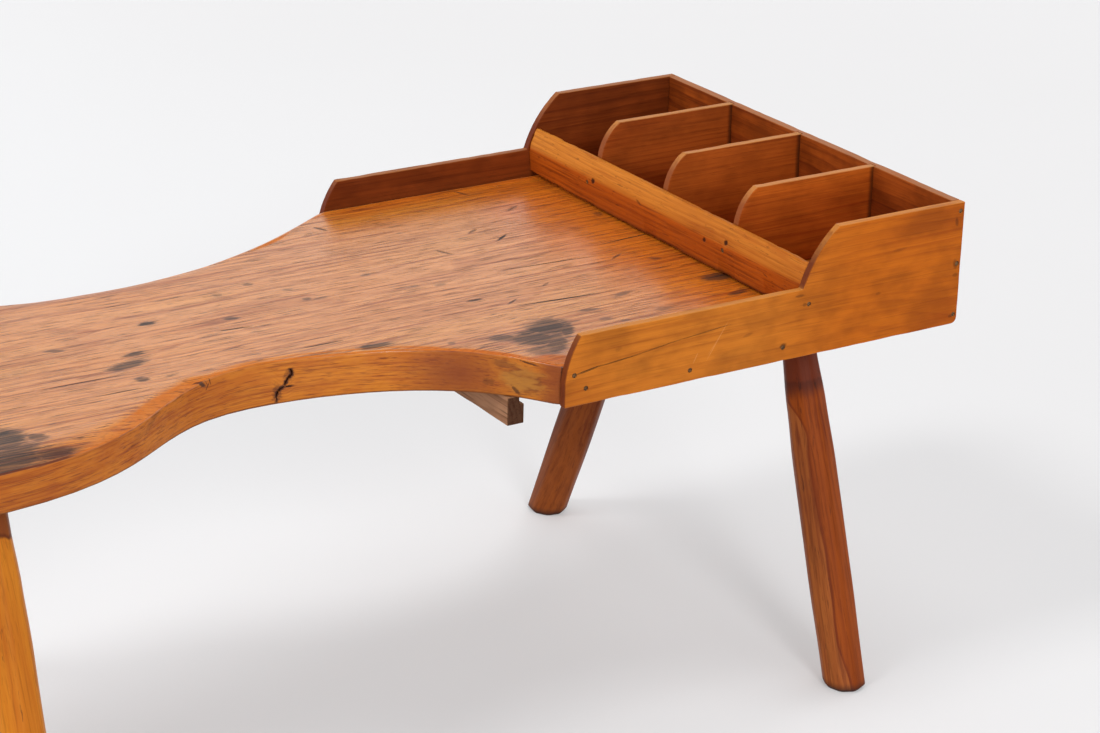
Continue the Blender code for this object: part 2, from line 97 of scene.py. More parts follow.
KNOCKS = in_metres(
    (146, 177, 8.5, 2.2, -65, 0.8), (281, 76, 11, 1.7, 35, 1), (214, 67, 10, 2, -65, 0.7),
    (266, 104, 8, 2.2, 30, 0.6), (334, 144, 10.5, 2.6, 30, 0.5), (314, 205, 10, 1.6, -70, 0.8),
    (175, -53, 8.5, 2.4, -5, 0.9), (202, -72, 8, 1.6, 30, 0.8), (250, -49, 6, 2, 30, 0.5),
    (346, -17, 9.5, 1.8, 30, 0.7))
CRACKS = in_metres(
    (-201, -65, 34, 0.9, 0, 1), (-182, -99, 25, 0.8, -2, 0.75), (-37, -16, 15, 1.4, -5, 0.9),
    (242, -87, 40, 1.5, -5, 1), (383, 20, 33, 1.2, 5, 0.9), (282, -3, 48, 1.1, -5, 0.8),
    (10, -83, 22, 1.2, 0, 0.9), (-267, -90, 12, 0.7, 0, 0.6), (-115, -106, 7, 1, 0, 0.9))

# The corner of the plank that hands rub by the near rail.
RUBBED_CORNER = in_metres((163, -205, 19, 11, -30, 0.9))

# Marks on the plank's near edge, whose place is x and z.
EDGE_MARKS = in_metres(
    (-32, 356, 7, 4, 55, 0.5), (-44, 343, 8, 4.5, 80, 0.55), (-29.4, 359, 3.4, 2.4, -75, 1),
    (-30.8, 355.6, 3.6, 2.2, 35, 1), (-34.8, 352, 5, 2, 55, 1), (-33.2, 347.6, 4.4, 1, 5, 0.9),
    (-40.2, 346.8, 4.4, 1.8, 30, 1), (-44.4, 342.5, 4.4, 2.2, 80, 1), (-44.8, 337.8, 3.4, 1.4, 85, 0.9),
    (-104.5, 366, 3.4, 0.6, -80, 0.9), (-107.5, 362, 3.2, 0.6, 50, 0.8), (-108, 365, 3, 0.5, -60, 0.6),
    (142, 366, 5, 0.9, -10, 0.85), (135, 340.5, 4.4, 1.4, -60, 0.75), (119, 345, 4, 3, 0, 0.4),
    (159, 352, 24, 0.8, 90, 0.85), (-175, 360, 13, 3, 30, 0.3), (-195, 353, 12, 2.4, 20, 0.2))

# Pale patches round the knot near the tray.
KNOT_PATCHES = in_metres((138.5, 350, 15, 14.5, 0, 1), (129, 361, 8.4, 4.2, -10, 0.9))

# The long crack of the near side board: x, z, width.
BOARD_CRACK = (
    (0.1671, 0.3620, 0.0010), (0.1795, 0.3640, 0.0011), (0.1918, 0.3655, 0.0007), (0.2105, 0.3670, 0.0006),
    (0.2290, 0.3690, 0.0005), (0.2505, 0.3715, 0.0006), (0.2720, 0.3740, 0.0005), (0.2960, 0.3760, 0.0005),
    (0.3230, 0.3785, 0.0002))

# Marks on the near side board: the long crack from the first nail, stains round the nails and knocks.
BOARD_MARKS = in_metres(
    (179.5, 364, 12.4, 0.9, 9, 0.9), (210.5, 367, 21.4, 0.6, 5, 0.75), (250.5, 371.5, 22, 0.5, 7, 0.6),
    (296, 376, 27.6, 0.5, 5, 0.55), (166, 362, 2.2, 1.8, 0, 0.4), (177.5, 348, 2.2, 1.8, 0, 0.4),
    (282, 344, 2.2, 1.8, 0, 0.4), (379, 348, 3.6, 2.2, 10, 0.7), (400, 382, 2.2, 1.8, 0, 0.4),
    (563.5, 430.5, 4, 1.8, -80, 0.5), (565, 391, 4.6, 2.4, -80, 0.5), (566, 380.5, 3.4, 2, 0, 0.4),
    (563.5, 342, 2.2, 1.8, 0, 0.4), (209, 377, 3.6, 2, 20, 0.2), (480, 378, 3, 1.4, 0, 0.35),
    (225, 356, 20, 7, 12, 0.16), (330, 350, 24, 6, 4, 0.14), (460, 356, 20, 9, 8, 0.12),
    (341, 365, 5, 1.4, 10, 0.3), (501, 415, 8, 1.4, 5, 0.25), (394.5, 391, 5, 1.2, 0, 0.5))
BOARD_SCRATCHES = in_metres(
    (309.3, 365.7, 18.5, 0.42, 57, 0.32), (287.3, 354, 5.2, 0.42, 63, 0.32), (305, 361, 8, 0.3, 52, 0.2))

# Marks on the bar, whose place is y and z.
BAR_MARKS = in_metres(
    (107, 396.5, 3, 2.6, 0, 0.95), (-77, 394.5, 2.6, 2.2, 0, 0.9), (-108.5, 401, 3, 2.4, 0, 0.95),
    (30, 398, 5, 1.2, 20, 0.5), (-170, 390, 4, 1, 15, 0.5), (65, 385, 4, 1, -10, 0.4))


# Modelling helpers

def pick(piece):
    """Makes one piece the only selected and active one."""
    bpy.ops.object.select_all(action="DESELECT")
    bpy.context.view_layer.objects.active = piece
    piece.select_set(True)


def new_object(name, data):
    """An object made of the data and linked into the scene."""
    piece = bpy.data.objects.new(name, data)
    bpy.context.collection.objects.link(piece)
    return piece


def edit(piece):
    pick(piece)
    bpy.ops.object.mode_set(mode="EDIT")
    bpy.ops.mesh.select_mode(type="VERT")
    bpy.ops.mesh.select_all(action="DESELECT")


def done():
    bpy.ops.object.mode_set(mode="OBJECT")


def face_out():
    """Turns every face of the edited piece outwards and leaves edit mode."""
    bpy.ops.mesh.select_all(action="SELECT")
    bpy.ops.mesh.normals_make_consistent(inside=False)
    done()


def choose(piece, test, kind="FACE"):
    """Selects the faces or edges that pass the test, in edit mode."""
    bpy.ops.mesh.select_mode(type=kind)
    bpy.ops.mesh.select_all(action="DESELECT")
    mesh = bmesh.from_edit_mesh(piece.data)
    for part in [part for part in (mesh.faces if kind == "FACE" else mesh.edges) if test(part)]:
        part.select_set(True)
    mesh.select_flush_mode()
    bmesh.update_edit_mesh(piece.data)


def bisect(place, normal, **settings):
    """Cuts the whole edited piece along a plane."""
    bpy.ops.mesh.select_all(action="SELECT")
    bpy.ops.mesh.bisect(plane_co=place, plane_no=normal, **settings)


def corners(piece):
    points = [vertex.co for vertex in piece.data.vertices]
    return (Vector([min(p[i] for p in points) for i in range(3)]),
            Vector([max(p[i] for p in points) for i in range(3)]))


def settle(piece):
    pick(piece)
    bpy.ops.object.transform_apply(location=True, rotation=True, scale=True)


def copy_of(node, name):
    """A merged copy of a packed board, with its flat faces whole again."""
    piece = new_object(name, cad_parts[node].data.copy())
    pick(piece)
    bpy.ops.mesh.customdata_custom_splitnormals_clear()
    edit(piece)
    bpy.ops.mesh.select_all(action="SELECT")
    bpy.ops.mesh.remove_doubles(threshold=0.00002)
    bpy.ops.mesh.dissolve_limited(angle_limit=radians(0.4))
    done()
    piece.data.materials.clear()
    return piece


def slice_up(piece, axis, step):
    """Cuts the whole skin at even steps along an axis, so that it can take wear."""
    low, high = corners(piece)
    normal = Vector([float(i == axis) for i in range(3)])
    count = int((high[axis] - low[axis]) / step)
    edit(piece)
    for turn in range(1, count + 1):
        place = (low + high) / 2
        place[axis] = low[axis] + (high[axis] - low[axis]) * turn / (count + 1)
        bisect(place, normal)
    done()


def uneven(piece, edge_wear):
    """Gives a hand-worked surface: a slow wave all over, and more wear along the edges."""
    wave_depth, wave_size, chip_size = 0.0002, 0.05, 0.02
    mesh = bmesh.new()
    mesh.from_mesh(piece.data)
    mesh.normal_update()
    moves = []
    for vertex in mesh.verts:
        wave = noise.noise(vertex.co / wave_size + Vector((7, 3, 5)))
        shift = -wave_depth * (0.5 + 0.5 * wave)
        if any(edge.is_manifold and edge.calc_face_angle(0) > radians(24) for edge in vertex.link_edges):
            chip = noise.noise(vertex.co / chip_size) + 0.6 * noise.noise(vertex.co / (chip_size * 0.35))
            shift -= edge_wear * max(0.0, chip)
        moves.append((vertex, vertex.normal * shift))
    for vertex, move in moves:
        vertex.co += move
    mesh.to_mesh(piece.data)
    mesh.free()


def soften(piece, width, segments, angle):
    """Rounds every edge that is sharper than the angle."""
    pick(piece)
    bevel = piece.modifiers.new("round", "BEVEL")
    bevel.width = width
    bevel.segments = segments
    bevel.limit_method = "ANGLE"
    bevel.angle_limit = radians(angle)
    bevel.harden_normals = False
    bpy.ops.object.modifier_apply(modifier=bevel.name)


def shade(piece, angle=34):
    pick(piece)
    bpy.ops.object.shade_smooth_by_angle(angle=radians(angle))


def cut_out(piece, cutter):
    """Takes the cutter's shape out of the piece and throws the cutter away."""
    pick(piece)
    boolean = piece.modifiers.new("cut", "BOOLEAN")
    boolean.operation = "DIFFERENCE"
    boolean.solver = "EXACT"
    boolean.object = cutter
    bpy.ops.object.modifier_apply(modifier=boolean.name)
    bpy.data.objects.remove(cutter)


def split(name, points, widths, inward, depth):
    """A jagged wedge that follows a row of points: widest at the skin, closing as it goes in."""
    inward = Vector(inward).normalized()
    points = [Vector(point) for point in points]
    vertices, faces = [], []
    for index, (point, width) in enumerate(zip(points, widths)):
        way = (points[min(index + 1, len(points) - 1)] - points[max(index - 1, 0)]).normalized()
        side = way.cross(inward).normalized() * width / 2
        lift = -inward * 0.002
        vertices += [point + side + lift, point - side + lift, point - side * 0.3 + inward * depth,
                     point + side * 0.3 + inward * depth]
    for index in range(len(points) - 1):
        base = index * 4
        for turn in range(4):
            faces.append((base + turn, base + (turn + 1) % 4, base + 4 + (turn + 1) % 4, base + 4 + turn))
    last = (len(points) - 1) * 4
    faces += [(3, 2, 1, 0), (last, last + 1, last + 2, last + 3)]
    data = bpy.data.meshes.new(name)
    data.from_pydata(vertices, [], faces)
    cutter = new_object(name, data)
    edit(cutter)
    face_out()
    return cutter


def cut_marks(piece, table, level, depth, breadth):
    """Cuts the cracks or knocks of a level face, each along its drawn mark. No two of them may cross."""
    cutters = []
    for index, (x, y, half_length, half_width, turn, _) in enumerate(table):
        way = Vector((cos(radians(turn)), sin(radians(turn)), 0))
        across = Vector((-way.y, way.x, 0))
        points, widths = [], []
        for step in range(9):
            share = step / 4 - 1
            sway = half_width * 0.5 * noise.noise(Vector((index * 3.1, share * 2.5, 0.5)))
            points.append(Vector((x, y, level)) + way * half_length * share + across * sway)
            widths.append(0.0002 + half_width * breadth * (1 - share * share))
        cutters.append(split(f"mark_{index}", points, widths, (0, 0, -1), depth))
    pick(cutters[0])
    for cutter in cutters:
        cutter.select_set(True)
    bpy.ops.object.join()
    cut_out(piece, cutters[0])


def table_value(table, at, column=1):
    """The value at a place, read between the two nearest rows of a table."""
    for first, second in zip(table, table[1:]):
        if first[0] <= at <= second[0]:
            share = (at - first[0]) / (second[0] - first[0])
            share = share * share * (3 - 2 * share)
            return first[column] + (second[column] - first[column]) * share
    return table[0][column] if at < table[0][0] else table[-1][column]


def fit(piece, finish, slot, *nodes):
    """Dresses a piece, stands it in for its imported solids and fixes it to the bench."""
    piece.data.materials.clear()
    piece.data.materials.append(finish)
    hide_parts(*nodes)
    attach(piece, "root")


# Finish helpers

def add(tree, kind, values=None, **settings):
    node = tree.nodes.new("ShaderNode" + kind)
    for key, value in settings.items():
        setattr(node, key, value)
    for key, value in (values or {}).items():
        if isinstance(value, bpy.types.NodeSocket):
            tree.links.new(value, node.inputs[key])
        else:
            node.inputs[key].default_value = value
    return node


def join(kind, values, **settings):
    """Adds a node to the tree that its linked values come from."""
    linked = [value for value in values.values() if isinstance(value, bpy.types.NodeSocket)]
    return add(linked[0].id_data, kind, values, **settings)


def calc(operation, *values, clamp=False):
    return join("Math", dict(enumerate(values)), operation=operation, use_clamp=clamp).outputs[0]


def vector_calc(operation, *values):
    node = join("VectorMath", dict(enumerate(values)), operation=operation)
    return node.outputs["Value" if operation in ("LENGTH", "DOT_PRODUCT") else 0]


def times(first, second):
    return calc("MULTIPLY", first, second)


def most(first, second):
    return calc("MAXIMUM", first, second)


def apart(value, middle):
    """How far the value is from the middle one."""
    return calc("ABSOLUTE", calc("SUBTRACT", value, middle))


def ramp(value, slope, start, clamp=False):
    """The value times a slope, and a start added."""
    return calc("MULTIPLY_ADD", value, slope, start, clamp=clamp)


def fade(value, start, end, low=0.0, high=1.0):
    """Runs smoothly from low to high as the value goes from start to end."""
    values = {"Value": value, "From Min": start, "From Max": end, "To Min": low, "To Max": high}
    return join("MapRange", values, interpolation_type="SMOOTHSTEP").outputs[0]


def mix(share, first, second, blend="MIX"):
    return join("Mix", {0: share, 6: first, 7: second}, data_type="RGBA", blend_type=blend).outputs[2]


def laid(place, scale=(1, 1, 1), turn=(0, 0, 0), shift=(0, 0, 0)):
    values = {"Vector": place, "Scale": scale, "Rotation": turn, "Location": shift}
    return join("Mapping", values).outputs[0]


def cloud(place, scale, detail=2.0, rough=0.5, shift=(0, 0, 0)):
    """Soft noise from 0 to 1 with its own scale along, across and up."""
    spread = laid(place, scale, shift=shift)
    return join("TexNoise", {"Vector": spread, "Scale": 1.0, "Detail": detail, "Roughness": rough}).outputs[0]


def axis_of(vector, axis):
    return join("SeparateXYZ", {0: vector}).outputs[axis]


def rgb(red, green, blue):
    return (red, green, blue, 1.0)


def darker(colour, share):
    return rgb(*(share * part for part in colour[:3]))


GRAIN_TURN = {"X": (0, 0, 0), "Y": (0, 0, -pi / 2)}


def grain_line(place, along, middle, seed=0.0):
    """Coordinates whose X runs with the grain and whose other two are measured from a heart line."""
    turned = laid(place, turn=GRAIN_TURN[along], shift=(seed, 0, 0))
    return laid(turned, shift=(0, -middle[0], -middle[1]))


def sawn_wood(run, pale, deep, pore, contrast, patches, ring=0.0045, sway=0.03, streaks=0.25, dashes=0.22,
              pores=0.35, bend=0.0, tangle=0.9, late_from=0.35, fine=1.0, short=1.0):
    """Colour, height and dullness of sawn wood: rings round a heart line, streaks, pores and patches."""
    drift = cloud(run, (1.5, 7.0, 7.0), 2.0, 0.5)
    ripple = cloud(run, (9.0, 60.0, 60.0), 2.0, 0.5)
    reach = vector_calc("LENGTH", vector_calc("MULTIPLY", run, (0, 1, 1)))
    reach = ramp(drift, sway, reach)
    reach = calc("ADD", ramp(ripple, ring * tangle, reach), bend)
    phase = calc("FRACT", calc("DIVIDE", reach, ring))
    late = times(fade(phase, late_from, 0.9), fade(phase, 1.0, 0.92))
    strength = cloud(run, (2.5, 55.0, 55.0), 2.0, 0.6)
    late = times(late, fade(strength, 0.3, 0.72, 0.25, 1.0))
    fibre = cloud(run, (9.0, 820.0, 820.0), 3.0, 0.65)
    patch = cloud(run, (3.2, 16.0, 16.0), 3.0, 0.55)
    streak = cloud(run, (2.6 * short, 210.0 * fine, 210.0 * fine), 3.0, 0.62, shift=(3, 1, 4))
    streak = fade(streak, 0.5, 0.62)
    share = times(late, contrast)
    share = ramp(streak, streaks, share)
    share = ramp(fade(fibre, 0.32, 0.7), 0.2, share)
    share = calc("ADD", share, fade(patch, 0.4, 0.75, 0.0, patches), clamp=True)
    colour = mix(share, pale, deep)
    dash = cloud(run, (11.0 * short, 480.0 * fine, 480.0 * fine), 2.0, 0.6, shift=(1, 5, 2))
    dash = fade(dash, 0.56, 0.66)
    tick = fade(cloud(run, (46.0, 1250.0, 1250.0), 2.0, 0.5), 0.6, 0.72)
    open_pore = most(times(dash, dashes), times(tick, pores))
    colour = mix(open_pore, colour, pore)
    height = ramp(open_pore, -0.8, times(late, -0.35))
    height = ramp(fibre, 0.2, height)
    return colour, height, most(open_pore, times(share, 0.6))


def new_finish(name, roughness, gloss):
    material = bpy.data.materials.new(name)
    material.use_nodes = True
    tree = material.node_tree
    shader = tree.nodes["Principled BSDF"]
    shader.inputs["Roughness"].default_value = roughness
    shader.inputs["Specular IOR Level"].default_value = gloss
    return material, shader, add(tree, "TexCoord").outputs["Object"]


def close_finish(shader, colour, height, depth, rough=None):
    """Links the colour, the relief and an uneven sheen to the shader."""
    links = shader.id_data.links
    links.new(colour, shader.inputs["Base Color"])
    bump = join("Bump", {"Height": height, "Strength": 1.0, "Distance": depth})
    links.new(bump.outputs[0], shader.inputs["Normal"])
    if rough is not None:
        links.new(rough, shader.inputs["Roughness"])


def spot_group():
    """A soft-edged oval mark with a place, a turn and a size, ragged by a shared noise."""
    tree = bpy.data.node_groups.new("oval mark", "ShaderNodeTree")
    for name, kind in (("Place", "NodeSocketVector"), ("Centre", "NodeSocketVector"),
                       ("Turn", "NodeSocketFloat"), ("Size", "NodeSocketVector"),
                       ("Ragged", "NodeSocketFloat"), ("Dark", "NodeSocketFloat")):
        tree.interface.new_socket(name=name, in_out="INPUT", socket_type=kind)
    tree.interface.new_socket(name="Mark", in_out="OUTPUT", socket_type="NodeSocketFloat")
    entry = tree.nodes.new("NodeGroupInput").outputs
    offset = vector_calc("SUBTRACT", entry["Place"], entry["Centre"])
    turned = join("VectorRotate", {"Vector": offset, "Angle": entry["Turn"]}, rotation_type="Z_AXIS")
    scaled = vector_calc("DIVIDE", turned.outputs[0], entry["Size"])
    reach = calc("ADD", vector_calc("LENGTH", scaled), entry["Ragged"])
    mark = times(fade(reach, 1.25, 0.55), entry["Dark"])
    tree.links.new(mark, tree.nodes.new("NodeGroupOutput").inputs["Mark"])
    return tree


OVAL_MARK = spot_group()


def marks(place, table, ragged):
    """The darkest of a table of oval marks at each point."""
    total = None
    for x, y, half_length, half_width, turn, dark in table:
        values = {"Place": place, "Centre": (x, y, 0), "Turn": -radians(turn),
                  "Size": (half_length, half_width, 1), "Ragged": ragged, "Dark": dark}
        mark = join("Group", values, node_tree=OVAL_MARK).outputs[0]
        total = mark if total is None else most(total, mark)
    return total


def normal_of(place, axis):
    """One axis of the surface's normal."""
    return axis_of(add(place.id_data, "NewGeometry").outputs["Normal"], axis)


def facing(place, axis, start, end):
    """Where the surface faces one way, from 0 to 1."""
    return fade(normal_of(place, axis), start, end)


# Finishes

def upright_place(place, axis=0):
    """The place on an upright face as a flat drawing: one level axis and the height."""
    parts = join("SeparateXYZ", {0: place}).outputs
    return join("CombineXYZ", {0: parts[axis], 1: parts[2]}).outputs[0]


def bump_at(flat, centre, size, rise):
    """A soft hill in a drawing, which leads the rings round a knot or places a tone."""
    offset = vector_calc("SUBTRACT", flat, (*centre, 0))
    scaled = vector_calc("DIVIDE", offset, (*size, 1))
    return fade(vector_calc("LENGTH", scaled), 1.6, 0.0, 0.0, rise)


def plank_top(place, run, along, up):
    """The level grain: golden in places, deeper by the bar and the rails, where hands keep off and painted
    shade is added, and painted lighter inside the box.
    """
    colour, height, dull = sawn_wood(
        run, rgb(0.76, 0.262, 0.033), rgb(0.37, 0.086, 0.013), rgb(0.085, 0.024, 0.008), ring=0.0092,
        sway=0.11, contrast=0.5, streaks=0.62, dashes=0.9, pores=0.6, patches=0.3, late_from=0.6,
        fine=1.9, short=2.4)
    golden = fade(cloud(run, (3.0, 11.0, 11.0), 2.0, 0.5, shift=(8, 2, 2)), 0.45, 0.7, 0.0, 0.6)
    colour = mix(golden, colour, rgb(1.05, 1.18, 1.0), "MULTIPLY")
    # Deeper colour by the bar and the rails: partly less-worn wood, partly painted shade where they keep
    # light and the room's reflection off the top.
    drift = cloud(place, (14, 9, 9), 2.0)
    sheltered_and_shaded = fade(ramp(drift, 0.05, along), 0.285, 0.385)
    by_rail = fade(axis_of(place, 1), 0.18, 0.215)
    sheltered_and_shaded = most(sheltered_and_shaded, times(by_rail, fade(along, 0.15, 0.2)))
    colour = mix(times(sheltered_and_shaded, up), colour, rgb(0.98, 0.76, 0.46), "MULTIPLY")
    # Inside the box the top is painted lighter: painted light against the shade of the box walls.
    in_box_painted_light = times(fade(along, 0.398, 0.406), up)
    return mix(in_box_painted_light, colour, rgb(1.22, 1.2, 1.05), "MULTIPLY"), height, dull


def plank_edge(place, along, near_half):
    """The sawn edge: a yellower, finer wood with an open knot and a figured patch by the tray."""
    drawing = upright_place(place)
    knot = bump_at(drawing, (0.13, 0.35), (0.016, 0.012), 0.016)
    knot = calc("ADD", knot, bump_at(drawing, (-0.038, 0.352), (0.007, 0.013), 0.007))
    run = grain_line(laid(place, scale=(1, 0.15, 1)), "X", (0.02, -0.7), 3.0)
    colour, height, _ = sawn_wood(
        run, rgb(0.56, 0.178, 0.014), rgb(0.3, 0.066, 0.007), rgb(0.16, 0.035, 0.008), ring=0.0034,
        sway=0.024, contrast=0.34, streaks=0.34, dashes=0.6, pores=0.8, patches=0.35, bend=knot, tangle=0.8,
        fine=1.5, short=2.5)
    mottle = cloud(laid(place, scale=(26, 10, 60)), (1, 1, 1), 3.0, 0.6)
    mottle = fade(mottle, 0.42, 0.66, 0.0, 0.6)
    colour = mix(mottle, colour, rgb(0.8, 0.62, 0.6), "MULTIPLY")
    seat_shade = fade(along, -0.27, -0.42, 0.0, 0.8)
    colour = mix(seat_shade, colour, rgb(0.72, 0.58, 0.55), "MULTIPLY")
    swirl = cloud(laid(drawing, scale=(1.0, 1.5, 1.0)), (62, 62, 62), 2.0, 0.55, shift=(3, 3, 3))
    loose = ramp(cloud(drawing, (150, 150, 150), 3.0, 0.6), 1.0, -0.4)
    olive = marks(drawing, KNOT_PATCHES, loose)
    figured = mix(fade(swirl, 0.44, 0.6), rgb(0.34, 0.145, 0.024), rgb(0.15, 0.042, 0.01))
    crease = fade(apart(swirl, 0.545), 0.03, 0.0, 0.0, 0.8)
    figured = mix(crease, figured, rgb(0.1, 0.028, 0.009))
    colour = mix(olive, colour, mix(0.25, figured, colour))
    red = fade(apart(along, 0.156), 0.014, 0.003, 0.0, 0.8)
    red = most(red, bump_at(drawing, (0.1, 0.35), (0.034, 0.026), 0.9))
    red = times(red, ramp(olive, -0.8, 1.0))
    colour = mix(red, colour, rgb(0.2, 0.04, 0.008))
    ragged = ramp(cloud(place, (420, 420, 420), 3.0, 0.7), 1.8, -0.9)
    mark = times(marks(drawing, EDGE_MARKS, ragged), near_half)
    colour = mix(mark, colour, rgb(0.058, 0.015, 0.005))
    # A dark line along the bottom edge: partly dirt, partly painted shade where the edge turns under.
    low_dirt_and_shade_line = fade(axis_of(place, 2), UNDERSIDE + 0.0022, UNDERSIDE + 0.0006, 0.0, 0.65)
    return mix(low_dirt_and_shade_line, colour, rgb(0.06, 0.018, 0.006)), height


def plank_rim(place, run, flat, along, up, near_top):
    """Where the top rolls over into the edge, and the corner that hands rub."""
    slope = times(facing(place, 2, 0.9965, 0.9935), facing(place, 1, -0.02, -0.07))
    slope = times(slope, fade(along, -0.15, -0.09))
    rim = times(facing(place, 2, 0.5, 0.78), most(slope, facing(place, 2, 0.992, 0.96)))
    loose = ramp(cloud(run, (60, 200, 200), 3.0), 1.0, -0.5)
    return most(times(rim, near_top), times(marks(flat, RUBBED_CORNER, loose), up))


def plank_stain(place, run, flat, dent, near_top):
    """How dark the stains, specks, knocks and cracks make the top."""
    ragged = ramp(cloud(run, (60, 330, 330), 3.0, 0.7), 1.5, -0.75)
    stain = marks(flat, STAINS, ragged)
    stain = times(stain, fade(cloud(run, (14, 330, 330), 2.0), 0.3, 0.62, 0.72, 1.0))
    specks = cloud(run, (26, 130, 130), 3.0, 0.62, shift=(5, 2, 0))
    speck = times(fade(specks, 0.65, 0.72), 0.65)
    dark = times(most(stain, speck), facing(place, 2, 0.55, 0.9))
    return most(dark, times(dent, near_top))


def plank_finish():
    """A board of open grain under a worn satin that has gone from the rims and the stains."""
    material, shader, place = new_finish("plank board, worn satin", 0.2, 0.2)
    run = grain_line(place, "X", (0.02, 0.3))
    flat = vector_calc("MULTIPLY", place, (1, 1, 0))
    along = axis_of(place, 0)
    near_half = fade(axis_of(place, 1), -0.05, -0.07)
    near_top = fade(axis_of(place, 2), PLANK_TOP - 0.008, PLANK_TOP - 0.0064)
    up = times(facing(place, 2, 0.72, 0.95), near_top)
    colour, height, dull = plank_top(place, run, along, up)
    edge_colour, edge_height = plank_edge(place, along, near_half)
    colour = mix(up, edge_colour, colour)
    rim = plank_rim(place, run, flat, along, up, near_top)
    ticks = fade(cloud(run, (10, 420, 420), 2.0, 0.6, shift=(4, 6, 1)), 0.38, 0.58, 0.95, 0.55)
    rim_colour = mix(fade(along, 0.06, 0.13), rgb(0.6, 0.15, 0.01), rgb(0.54, 0.115, 0.006))
    colour = mix(times(rim, ticks), colour, rim_colour)
    # A painted highlight: a thin pale line along the far top edge.
    far_edge_highlight = times(facing(place, 1, 0.15, 0.4), facing(place, 2, 0.25, 0.6))
    colour = mix(times(far_edge_highlight, 0.7), colour, rgb(0.8, 0.42, 0.2))
    dent = marks(flat, KNOCKS + CRACKS, ramp(cloud(run, (120, 900, 900), 2.0), 0.9, -0.45))
    # By the stain at the seat the rubbed rim is a dark maroon instead of orange.
    seat_rim = times(facing(place, 2, 0.4, 0.66), facing(place, 2, 0.996, 0.97))
    seat_rim = times(seat_rim, times(near_top, near_half))
    seat_rim = times(seat_rim, fade(along, -0.252, -0.268, 0.0, 0.95))
    dark = most(plank_stain(place, run, flat, dent, near_top), seat_rim)
    rim = most(rim, seat_rim)
    tone = mix(rim, rgb(0.022, 0.016, 0.016), rgb(0.085, 0.014, 0.007))
    colour = mix(times(dark, 0.94), colour, tone)
    height = ramp(times(dent, up), -2.2, times(height, up))
    height = ramp(edge_height, ramp(up, -0.6, 0.6), height)
    matt = most(dull, most(dark, rim))
    rough = ramp(matt, 0.3, ramp(cloud(run, (8, 40, 40), 3.0), 0.14, 0.15))
    rough = ramp(calc("SUBTRACT", 1.0, up), 0.26, rough)
    coat = times(ramp(up, 0.72, 0.02), ramp(matt, -0.75, 1.0))
    coat = times(coat, ramp(rim, -0.85, 1.0))
    # The very corner is polished by hands and knees, and glints.
    corner = times(facing(place, 2, 0.36, 0.48), facing(place, 2, 0.88, 0.7))
    patchy = fade(cloud(place, (90, 90, 90), 3.0, 0.6, shift=(6, 0, 1)), 0.36, 0.52, 0.3, 1.0)
    coat = most(coat, times(corner, patchy))
    rough = times(rough, ramp(corner, -0.45, 1.0))
    material.node_tree.links.new(coat, shader.inputs["Coat Weight"])
    shader.inputs["Coat Roughness"].default_value = 0.24
    close_finish(shader, colour, height, 0.0002, rough)
    return material


def board_finish(name, pale, deep, edge, middle, grime, along="X", seed=0.0, gloss=0.07, low_darkening=0.5,
                 drawn=(), pale_drawn=(), end_axis=None, end_colour=None, corner=False, **grain):
    """A thin board with pale top edges, worn and painted lighter where they face up, dark end grain, darker
    towards the bottom, painted shade in the corner by the end board where asked, and a dull satin.
    """
    material, shader, place = new_finish(name, 0.42, gloss)
    run = grain_line(place, along, middle, seed)
    colour, height, _ = sawn_wood(run, pale, deep, darker(deep, 0.35), **grain)
    # Grime in patches, and darker towards the bottom of the board.
    low = fade(axis_of(place, 2), RAIL_TOP, PLANK_TOP - 0.006)
    smoke = cloud(place, (20, 20, 34), 3.0, 0.6, shift=(seed, 0, 0))
    grime_and_low_darkening = times(fade(smoke, 0.38, 0.66), grime)
    grime_and_low_darkening = ramp(low, grime * low_darkening, grime_and_low_darkening, clamp=True)
    colour = mix(grime_and_low_darkening, colour, darker(deep, 0.42))
    if drawn:
        drawing = upright_place(place)
        ragged = ramp(cloud(place, (500, 500, 500), 3.0, 0.7), 0.7, -0.4)
        mark = marks(drawing, drawn, ragged)
        colour = mix(times(mark, 0.9), colour, rgb(0.03, 0.012, 0.006))
        height = ramp(mark, -1.2, height)
        redder = fade(axis_of(place, 0), 0.33, 0.47)
        colour = mix(redder, colour, rgb(0.92, 0.74, 0.4), "MULTIPLY")
        colour = mix(marks(drawing, pale_drawn, ragged), colour, rgb(0.7, 0.34, 0.12))
    if corner:
        # Where the board meets the end board: a dark joint with dirt in it, and painted shade in the corner.
        joint_and_corner_shade = fade(axis_of(place, 0), BOX_INNER_END - 0.0048, BOX_INNER_END, 0.0, 0.75)
        colour = mix(joint_and_corner_shade, colour, rgb(0.03, 0.008, 0.004))
    if end_axis is not None:
        end_face = fade(calc("ABSOLUTE", normal_of(place, end_axis)), 0.45, 0.8)
        colour = mix(times(end_face, 0.85), colour, end_colour)
    # The upward faces are paler: partly worn wood, partly painted light where they face up to the lamps.
    bare = times(facing(place, 2, 0.45, 0.85), 0.8)
    bare = times(bare, fade(cloud(run, (22, 160, 160), 3.0), 0.3, 0.52, 0.55, 1.0))
    colour = mix(bare, colour, edge)
    rough = ramp(cloud(run, (8, 50, 50), 3.0), 0.25, 0.3)
    close_finish(shader, colour, height, 0.00014, rough)
    return material


